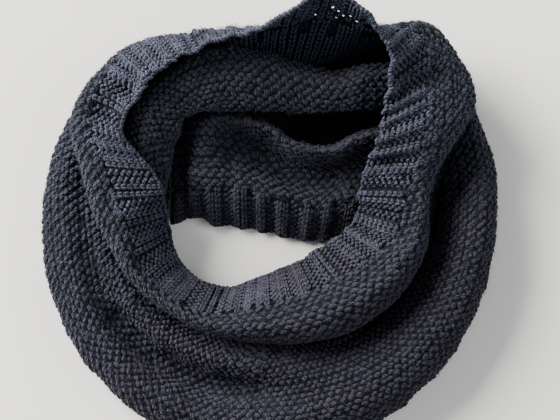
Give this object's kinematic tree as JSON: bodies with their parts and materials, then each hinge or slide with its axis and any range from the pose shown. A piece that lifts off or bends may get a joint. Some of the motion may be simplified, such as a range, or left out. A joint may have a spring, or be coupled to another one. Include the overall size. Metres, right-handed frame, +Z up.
{
  "type": "knitted infinity scarf",
  "caption": "Chunky knitted tube scarf, slouched into a soft folded ring: garter-stitch body with a ribbed band at each end, lying on its flat underside.",
  "frame": {"origin": "middle of the scarf's box, on the surface that it lies on", "axes": "+Z up; +Y towards the far side, where the upper rim stands highest; +X to the right"},
  "size_m": [0.3166, 0.3151, 0.0987],
  "materials": {
    "garter_wool": "matte wool yarn in garter stitch with a soft fuzz, charcoal blue-grey",
    "rib_wool": "matte wool yarn in two-by-two rib with a soft fuzz, charcoal blue-grey",
    "shaded_wool": "the same matte wool, deep inside the folds"
  },
  "bodies": {
    "root": {"top_rib_band": "rib_wool", "upper_fold": "garter_wool", "middle_ridge": "garter_wool", "outer_roll": "garter_wool", "far_upper_roll": "garter_wool", "far_lower_fold": "garter_wool", "bottom_rib_band": "rib_wool", "hidden_layers": "shaded_wool"}
  },
  "joints": []
}
